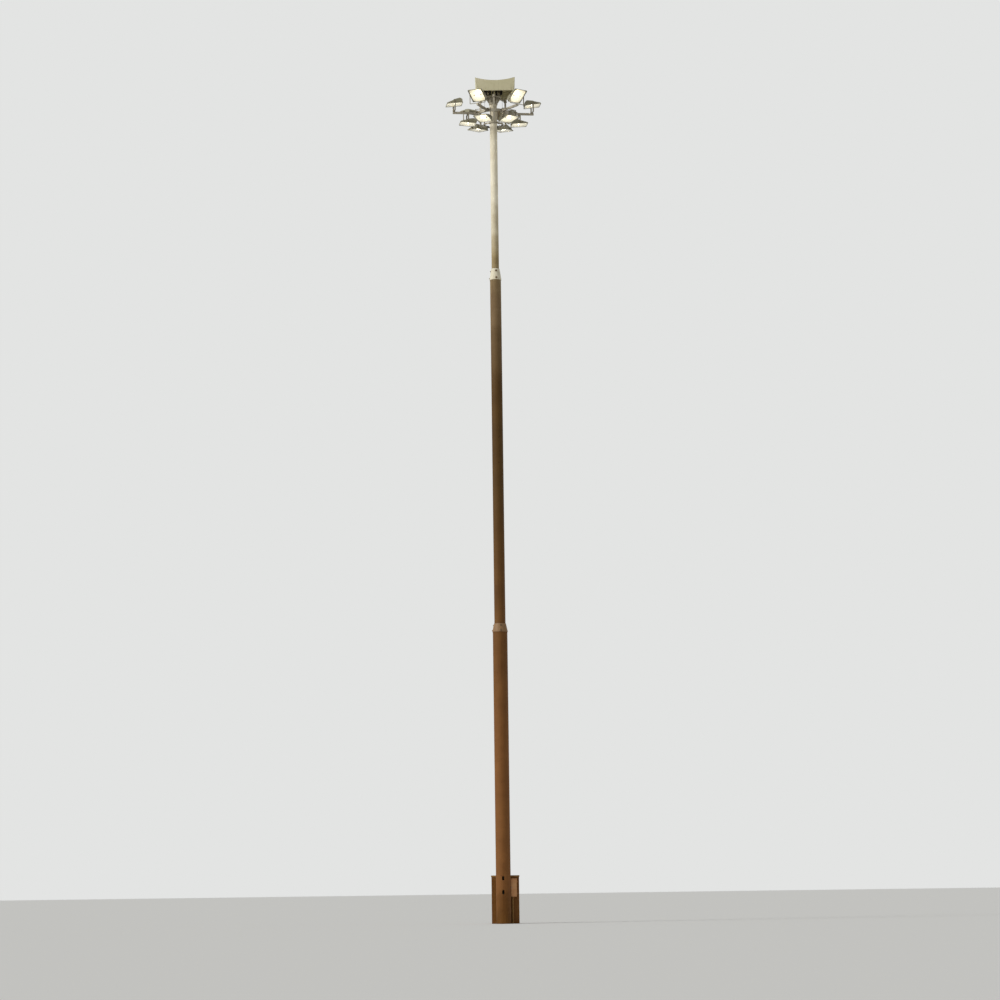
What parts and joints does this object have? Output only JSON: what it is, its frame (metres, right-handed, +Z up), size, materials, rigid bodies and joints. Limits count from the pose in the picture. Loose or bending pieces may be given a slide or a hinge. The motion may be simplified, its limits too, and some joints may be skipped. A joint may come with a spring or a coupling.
{
  "type": "high mast floodlight tower",
  "caption": "Stepped tubular steel lighting mast with pale cone collars, a square hood and a winch-lowered crown of tilting floodlights in two tiers, with a cabinet at its foot.",
  "frame": {"origin": "centre of the foot plate, on the ground, on the axis of the mast", "axes": "+Z up along the mast, -Y towards the side with the cable slots, +X to the right seen from that side"},
  "size_m": [3.5775, 3.4548, 31.2047],
  "materials": {
    "mast_paint": "matt brown paint, bleached towards the top",
    "collar_paint": "matt off-white paint, browned on the lower collar",
    "galvanised": "dull galvanised steel",
    "cast_iron": "dark cast iron",
    "rope_steel": "greased wire rope",
    "hood_paint": "matt khaki paint, weathered",
    "pad_rubber": "black rubber",
    "box_plastic": "grey painted steel",
    "stirrup_steel": "galvanised strap",
    "cabinet_paint": "matt brown paint",
    "switch_paint": "satin beige paint",
    "conduit_steel": "tube painted brown with the cabinet",
    "flood_alloy": "grey die-cast alloy",
    "lamp_glass": "toughened flat glass"
  },
  "bodies": {
    "mast": {"base_plate": "mast_paint", "lower_tube": "mast_paint", "middle_tube": "mast_paint", "top_tube": "mast_paint", "lower_collar": "collar_paint", "upper_collar": "collar_paint", "head_column": "galvanised", "pulley_brackets": "galvanised", "pulleys": "cast_iron", "hoist_ropes": "rope_steel", "rope_spreader": "galvanised", "winch_drum": "cast_iron", "hood": "hood_paint", "hood_posts": "galvanised", "winch_cabinet": "cabinet_paint", "cabinet_cap": "cabinet_paint", "cabinet_cover": "cabinet_paint", "cabinet_brackets": "mast_paint", "switch_box": "switch_paint", "conduit": "conduit_steel", "conduit_clips": "conduit_steel", "docking_arms": "galvanised"},
    "switch_door": {"switch_box_door": "switch_paint"},
    "crown": {"crown_frame": "galvanised", "guide_cage": "galvanised", "docking_posts": "galvanised", "guide_pads": "pad_rubber", "junction_box": "box_plastic", "rope_falls": "rope_steel", "upper_stirrups": "stirrup_steel", "lower_stirrups": "stirrup_steel"},
    "floodlight_upper_1": {"flood_upper_1": "flood_alloy", "glass_upper_1": "lamp_glass"},
    "floodlight_upper_2": {"flood_upper_2": "flood_alloy", "glass_upper_2": "lamp_glass"},
    "floodlight_upper_3": {"flood_upper_3": "flood_alloy", "glass_upper_3": "lamp_glass"},
    "floodlight_upper_4": {"flood_upper_4": "flood_alloy", "glass_upper_4": "lamp_glass"},
    "floodlight_upper_5": {"flood_upper_5": "flood_alloy", "glass_upper_5": "lamp_glass"},
    "floodlight_upper_6": {"flood_upper_6": "flood_alloy", "glass_upper_6": "lamp_glass"},
    "floodlight_lower_1": {"flood_lower_1": "flood_alloy", "glass_lower_1": "lamp_glass"},
    "floodlight_lower_2": {"flood_lower_2": "flood_alloy", "glass_lower_2": "lamp_glass"},
    "floodlight_lower_3": {"flood_lower_3": "flood_alloy", "glass_lower_3": "lamp_glass"},
    "floodlight_lower_4": {"flood_lower_4": "flood_alloy", "glass_lower_4": "lamp_glass"},
    "floodlight_lower_5": {"flood_lower_5": "flood_alloy", "glass_lower_5": "lamp_glass"},
    "floodlight_lower_6": {"flood_lower_6": "flood_alloy", "glass_lower_6": "lamp_glass"}
  },
  "joints": [
    {"name": "crown_lower", "type": "slide", "parent": "mast", "child": "crown", "axis": [0, 0, -1], "range_m": [0, 27.2]},
    {"name": "switch_door_swing", "type": "hinge", "parent": "mast", "child": "switch_door", "pos_m": [0.492, 0.115, 1.3], "axis": [0, 0, 1], "range_deg": [0, 110]},
    {"name": "tilt_upper_1", "type": "hinge", "parent": "crown", "child": "floodlight_upper_1", "pos_m": [1.45904, 0.17915, 30.38], "axis": [0.1219, -0.9925, 0], "range_deg": [-38, 82]},
    {"name": "tilt_upper_2", "type": "hinge", "parent": "crown", "child": "floodlight_upper_2", "pos_m": [0.57437, 1.35314, 30.38], "axis": [0.9205, -0.3907, 0], "range_deg": [-50, 70]},
    {"name": "tilt_upper_3", "type": "hinge", "parent": "crown", "child": "floodlight_upper_3", "pos_m": [-0.88467, 1.17399, 30.38], "axis": [0.7986, 0.6018, 0], "range_deg": [-50, 70]},
    {"name": "tilt_upper_4", "type": "hinge", "parent": "crown", "child": "floodlight_upper_4", "pos_m": [-1.45904, -0.17915, 30.38], "axis": [-0.1219, 0.9925, 0], "range_deg": [-24, 96]},
    {"name": "tilt_upper_5", "type": "hinge", "parent": "crown", "child": "floodlight_upper_5", "pos_m": [-0.57437, -1.35314, 30.38], "axis": [-0.9205, 0.3907, 0], "range_deg": [-62, 58]},
    {"name": "tilt_upper_6", "type": "hinge", "parent": "crown", "child": "floodlight_upper_6", "pos_m": [0.88467, -1.17399, 30.38], "axis": [-0.7986, -0.6018, 0], "range_deg": [-68, 52]},
    {"name": "tilt_lower_1", "type": "hinge", "parent": "crown", "child": "floodlight_lower_1", "pos_m": [0.96277, 0.11821, 29.64], "axis": [0.1219, -0.9925, 0], "range_deg": [-34, 86]},
    {"name": "tilt_lower_2", "type": "hinge", "parent": "crown", "child": "floodlight_lower_2", "pos_m": [0.37901, 0.89289, 29.64], "axis": [0.9205, -0.3907, 0], "range_deg": [-36, 84]},
    {"name": "tilt_lower_3", "type": "hinge", "parent": "crown", "child": "floodlight_lower_3", "pos_m": [-0.58376, 0.77468, 29.64], "axis": [0.7986, 0.6018, 0], "range_deg": [-36, 84]},
    {"name": "tilt_lower_4", "type": "hinge", "parent": "crown", "child": "floodlight_lower_4", "pos_m": [-0.96277, -0.11821, 29.64], "axis": [-0.1219, 0.9925, 0], "range_deg": [-34, 86]},
    {"name": "tilt_lower_5", "type": "hinge", "parent": "crown", "child": "floodlight_lower_5", "pos_m": [-0.37901, -0.89289, 29.64], "axis": [-0.9205, 0.3907, 0], "range_deg": [-40, 80]},
    {"name": "tilt_lower_6", "type": "hinge", "parent": "crown", "child": "floodlight_lower_6", "pos_m": [0.58376, -0.77468, 29.64], "axis": [-0.7986, -0.6018, 0], "range_deg": [-40, 80]}
  ]
}
